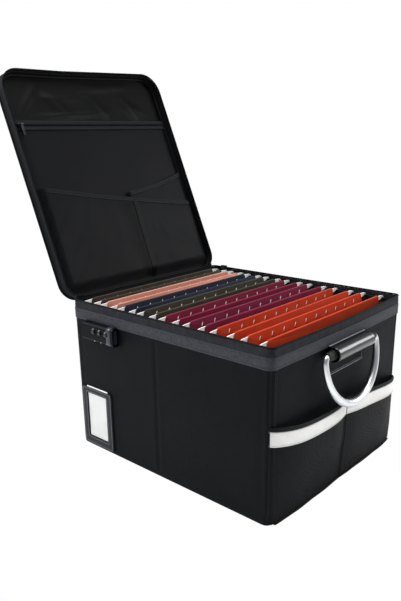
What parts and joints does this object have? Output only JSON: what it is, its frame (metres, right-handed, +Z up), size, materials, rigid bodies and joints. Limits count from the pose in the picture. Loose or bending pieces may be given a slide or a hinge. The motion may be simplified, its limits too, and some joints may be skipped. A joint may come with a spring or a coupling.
{
  "type": "portable file box",
  "caption": "Soft-sided file box with a zip-round lid standing open, dial lock, end handles, mesh pocket, label holder and hanging folders on rails.",
  "frame": {"origin": "centre of the underside of the box, on the surface it stands on", "axes": "+Z up, +X towards the end with the handle and the outside pocket, -Y towards the lock and the label holder; the lid's hinge runs along Y at the -X end"},
  "size_m": [0.5698, 0.3505, 0.5906],
  "materials": {
    "shell_cloth": "black densely woven cloth with a soft coating",
    "board": "grey pressed board",
    "lining_cloth": "black lining cloth, slightly glossy",
    "band_webbing": "slate coated webbing",
    "zip_cloth": "black zip tape",
    "zip_coil": "black moulded coil",
    "rail_steel": "plain strip",
    "clip_plastic": "moulded black",
    "lock_plastic": "satin dark blue-grey moulding",
    "dial_plastic": "black with pale index dots",
    "button_plastic": "dark with a bright rim",
    "plated_steel": "bright plating",
    "holder_vinyl": "black vinyl",
    "clear_film": "clear soft film",
    "white_card": "plain white card",
    "strap_webbing": "black webbing",
    "sleeve_rubber": "glossy black sleeve",
    "handle_metal": "satin silver",
    "pocket_mesh": "fine black mesh",
    "pale_tape": "off-white reflective tape",
    "binding": "black binding tape",
    "piping": "black covered cord",
    "slider_metal": "black enamel",
    "white_plastic": "white moulded",
    "card_1": "dark brown folder card",
    "card_2": "salmon folder card",
    "card_3": "navy folder card",
    "card_4": "olive brown folder card",
    "card_5": "burgundy folder card",
    "card_6": "plum folder card",
    "card_7": "orange red folder card",
    "card_8": "bright orange red folder card"
  },
  "bodies": {
    "box": {"outer_shell": "shell_cloth", "base_panel": "lining_cloth", "wall_boards": "board", "lining": "lining_cloth", "rim_band": "band_webbing", "body_zip_tape": "zip_cloth", "body_zip_teeth": "zip_coil", "hanging_rails": "rail_steel", "rail_clips": "clip_plastic", "lock_housing": "lock_plastic", "lock_dial_shaft": "plated_steel", "lock_back_plate": "rail_steel", "label_frame": "holder_vinyl", "label_window": "clear_film", "handle_straps": "strap_webbing", "handle_sleeves": "sleeve_rubber", "end_pocket": "pocket_mesh", "end_pocket_band": "pale_tape", "end_pocket_binding": "binding", "hinge_strip": "shell_cloth"},
    "lid": {"lid_shell": "shell_cloth", "lid_board": "board", "lid_lining": "lining_cloth", "lid_piping": "piping", "lid_zip_tape": "zip_cloth", "lid_zip_teeth": "zip_coil", "lid_mesh_panel": "pocket_mesh", "lid_pocket_zip": "zip_cloth", "lid_rear_pocket": "pocket_mesh", "lid_front_pocket": "pocket_mesh"},
    "handle": {"handle_ring": "handle_metal"},
    "rear_handle": {"rear_handle_ring": "handle_metal"},
    "dial_1": {"lock_dial_1": "dial_plastic"},
    "dial_2": {"lock_dial_2": "dial_plastic"},
    "dial_3": {"lock_dial_3": "dial_plastic"},
    "release_button": {"lock_button": "button_plastic"},
    "card": {"label_card": "white_card"},
    "slider": {"zip_slider": "slider_metal"},
    "pull": {"zip_pull": "slider_metal"},
    "pocket_slider": {"lid_pocket_slider": "plated_steel"},
    "pocket_pull": {"lid_pocket_pull": "plated_steel"},
    "hanging_folder_1": {"folder_1": "card_1", "folder_1_rods": "white_plastic"},
    "hanging_folder_2": {"folder_2": "card_2", "folder_2_rods": "white_plastic"},
    "hanging_folder_3": {"folder_3": "card_3", "folder_3_rods": "white_plastic"},
    "hanging_folder_4": {"folder_4": "card_4", "folder_4_rods": "white_plastic"},
    "hanging_folder_5": {"folder_5": "card_5", "folder_5_rods": "white_plastic"},
    "hanging_folder_6": {"folder_6": "card_6", "folder_6_rods": "white_plastic"},
    "hanging_folder_7": {"folder_7": "card_7", "folder_7_rods": "white_plastic"},
    "hanging_folder_8": {"folder_8": "card_8", "folder_8_rods": "white_plastic"}
  },
  "joints": [
    {"name": "lid_hinge", "type": "hinge", "parent": "box", "child": "lid", "pos_m": [-0.186, 0, 0.24], "axis": [0, 1, 0], "range_deg": [0, 113], "deforming": ["hinge_strip"]},
    {"name": "handle_hinge", "type": "hinge", "parent": "box", "child": "handle", "pos_m": [0.2, 0, 0.202], "axis": [0, -1, 0], "range_deg": [0, 140]},
    {"name": "rear_handle_hinge", "type": "hinge", "parent": "box", "child": "rear_handle", "pos_m": [-0.2, 0, 0.202], "axis": [0, 1, 0], "range_deg": [0, 140]},
    {"name": "dial_1_turn", "type": "hinge", "parent": "box", "child": "dial_1", "pos_m": [-0.128, -0.172, 0.201], "axis": [1, 0, 0], "continuous": true},
    {"name": "dial_2_turn", "type": "hinge", "parent": "box", "child": "dial_2", "pos_m": [-0.114, -0.172, 0.201], "axis": [1, 0, 0], "continuous": true},
    {"name": "dial_3_turn", "type": "hinge", "parent": "box", "child": "dial_3", "pos_m": [-0.1, -0.172, 0.201], "axis": [1, 0, 0], "continuous": true},
    {"name": "button_press", "type": "slide", "parent": "box", "child": "release_button", "axis": [-1, 0, 0], "range_m": [0, 0.0025], "stiffness_N_per_m": 300},
    {"name": "card_slide", "type": "slide", "parent": "box", "child": "card", "axis": [0, 0, 1], "range_m": [0, 0.04]},
    {"name": "zip_slide", "type": "slide", "parent": "box", "child": "slider", "axis": [1, 0, 0], "range_m": [0, 0.33]},
    {"name": "zip_pull_swing", "type": "hinge", "parent": "slider", "child": "pull", "pos_m": [-0.162, 0.16938, 0.2374], "axis": [1, 0, 0], "range_deg": [0, 85]},
    {"name": "pocket_zip_slide", "type": "slide", "parent": "lid", "child": "pocket_slider", "axis": [0, 1, 0], "range_m": [0, 0.3]},
    {"name": "pocket_pull_swing", "type": "hinge", "parent": "pocket_slider", "child": "pocket_pull", "pos_m": [-0.3061, -0.154, 0.50189], "axis": [0, -1, 0], "range_deg": [0, 170]},
    {"name": "folder_1_slide", "type": "slide", "parent": "box", "child": "hanging_folder_1", "axis": [1, 0, 0], "range_m": [-0.005, 0.005]},
    {"name": "folder_2_slide", "type": "slide", "parent": "box", "child": "hanging_folder_2", "axis": [1, 0, 0], "range_m": [-0.005, 0.005]},
    {"name": "folder_3_slide", "type": "slide", "parent": "box", "child": "hanging_folder_3", "axis": [1, 0, 0], "range_m": [-0.005, 0.005]},
    {"name": "folder_4_slide", "type": "slide", "parent": "box", "child": "hanging_folder_4", "axis": [1, 0, 0], "range_m": [-0.005, 0.005]},
    {"name": "folder_5_slide", "type": "slide", "parent": "box", "child": "hanging_folder_5", "axis": [1, 0, 0], "range_m": [-0.005, 0.005]},
    {"name": "folder_6_slide", "type": "slide", "parent": "box", "child": "hanging_folder_6", "axis": [1, 0, 0], "range_m": [-0.005, 0.005]},
    {"name": "folder_7_slide", "type": "slide", "parent": "box", "child": "hanging_folder_7", "axis": [1, 0, 0], "range_m": [-0.005, 0.005]},
    {"name": "folder_8_slide", "type": "slide", "parent": "box", "child": "hanging_folder_8", "axis": [1, 0, 0], "range_m": [-0.005, 0.005]}
  ]
}
